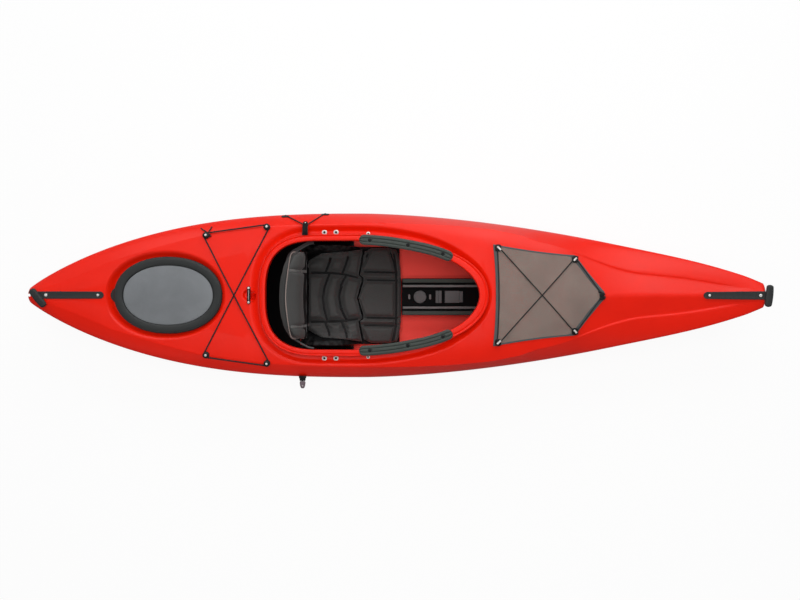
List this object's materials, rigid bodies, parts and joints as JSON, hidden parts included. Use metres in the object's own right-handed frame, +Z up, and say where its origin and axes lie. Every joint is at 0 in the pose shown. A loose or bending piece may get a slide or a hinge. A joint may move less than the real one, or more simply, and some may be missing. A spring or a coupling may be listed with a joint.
{
  "type": "crossover kayak",
  "caption": "Sit-inside crossover kayak with a large cockpit, adjustable padded seat, stern hatch, deck bungees, thigh pads, sliding foot braces and a drop-down skeg.",
  "frame": {"origin": "on the flat of the bottom, amidships on the keel line", "axes": "+X to the bow, +Y to port, +Z up from the flat of the bottom"},
  "size_m": [3.2218, 0.7793, 0.3995],
  "materials": {
    "hull_red": "satin",
    "black_rubber": "matte",
    "hatch_grey": "satin",
    "black_plastic": "satin",
    "grey_plastic": "satin",
    "cord_black": "matte",
    "stainless_steel": "satin",
    "seat_fabric": "matte",
    "thigh_pad_grey": "matte",
    "mesh_grey": "matte",
    "grey_foam": "matte"
  },
  "bodies": {
    "hull": {"bow_bungee": "cord_black", "bow_button_port_aft": "black_plastic", "bow_button_port_fore": "black_plastic", "bow_button_starboard_aft": "black_plastic", "bow_button_starboard_fore": "black_plastic", "bow_button_tip": "black_plastic", "bow_handle_inner_bolt": "stainless_steel", "bow_handle_outer_bolt": "stainless_steel", "bow_handle_strap": "black_rubber", "bow_mesh_panel": "mesh_grey", "bow_pillar": "grey_foam", "centre_console": "black_plastic", "console_cap": "grey_plastic", "console_plate_aft": "grey_plastic", "console_plate_fore": "grey_plastic", "console_rail_port": "grey_plastic", "console_rail_starboard": "grey_plastic", "foot_rail_port": "grey_plastic", "foot_rail_starboard": "grey_plastic", "hull_shell": "hull_red", "paddle_bungee": "cord_black", "paddle_eye_aft": "black_rubber", "paddle_eye_fore": "black_rubber", "paddle_tab": "black_plastic", "rear_bulkhead": "grey_foam", "rim_washer_port_aft": "stainless_steel", "rim_washer_port_fore": "stainless_steel", "rim_washer_starboard_aft": "stainless_steel", "rim_washer_starboard_fore": "stainless_steel", "seat_cushion": "seat_fabric", "seat_pan": "black_plastic", "security_bar": "stainless_steel", "skeg_cleat": "black_plastic", "skeg_conduit": "cord_black", "skeg_pin": "stainless_steel", "stern_bungee": "cord_black", "stern_button_port_aft": "black_plastic", "stern_button_port_fore": "black_plastic", "stern_button_starboard_aft": "black_plastic", "stern_button_starboard_fore": "black_plastic", "stern_handle_inner_bolt": "stainless_steel", "stern_handle_outer_bolt": "stainless_steel", "stern_handle_strap": "black_rubber", "thigh_pad_port": "thigh_pad_grey", "thigh_pad_starboard": "thigh_pad_grey"},
    "hatch_cover": {"hatch_cover_ring": "black_rubber", "hatch_cover_panel": "hatch_grey"},
    "backrest": {"backrest_shell": "black_plastic", "backrest_cushion": "seat_fabric"},
    "leg_lifter": {"leg_lifter_board": "black_plastic", "leg_lifter_pad": "seat_fabric"},
    "skeg": {"skeg_blade": "black_plastic"},
    "skeg_pull": {"skeg_handle": "grey_plastic"},
    "stern_grip": {"stern_handle_grip": "black_rubber"},
    "bow_grip": {"bow_handle_grip": "black_rubber"},
    "pedal_port": {"foot_pedal_port": "black_plastic"},
    "pedal_starboard": {"foot_pedal_starboard": "black_plastic"}
  },
  "joints": [
    {"name": "hatch_lift", "type": "slide", "parent": "hull", "child": "hatch_cover", "axis": [0, 0, 1], "range_m": [0, 0.25]},
    {"name": "backrest_tilt", "type": "hinge", "parent": "hull", "child": "backrest", "pos_m": [-0.405, 0, 0.088], "axis": [0, 1, 0], "range_deg": [-3, 24]},
    {"name": "leg_lifter_tilt", "type": "hinge", "parent": "hull", "child": "leg_lifter", "pos_m": [-0.146, 0, 0.0374], "axis": [0, -1, 0], "range_deg": [0, 18]},
    {"name": "skeg_hinge", "type": "hinge", "parent": "hull", "child": "skeg", "pos_m": [-1.401, 0, 0.122], "axis": [0, -1, 0], "range_deg": [0, 70]},
    {"name": "skeg_pull_slide", "type": "slide", "parent": "hull", "child": "skeg_pull", "axis": [0, -1, 0], "range_m": [0, 0.1]},
    {"name": "stern_grip_hinge", "type": "hinge", "parent": "hull", "child": "stern_grip", "pos_m": [-1.53041, 0, 0.30125], "axis": [-0.6293, 0.7771, 0], "range_deg": [0, 60]},
    {"name": "bow_grip_hinge", "type": "hinge", "parent": "hull", "child": "bow_grip", "pos_m": [1.58766, 0, 0.34458], "axis": [-0.1045, -0.9945, 0], "range_deg": [0, 60]},
    {"name": "pedal_port_slide", "type": "slide", "parent": "hull", "child": "pedal_port", "axis": [0.9871, -0.1604, 0], "range_m": [-0.13, 0.13]},
    {"name": "pedal_starboard_slide", "type": "slide", "parent": "hull", "child": "pedal_starboard", "axis": [0.9869, 0.1612, 0], "range_m": [-0.13, 0.13]}
  ],
  "couplings": [
    {"joint": "skeg_pull_slide", "follows": "skeg_hinge", "m_per_rad": 0.08185}
  ]
}
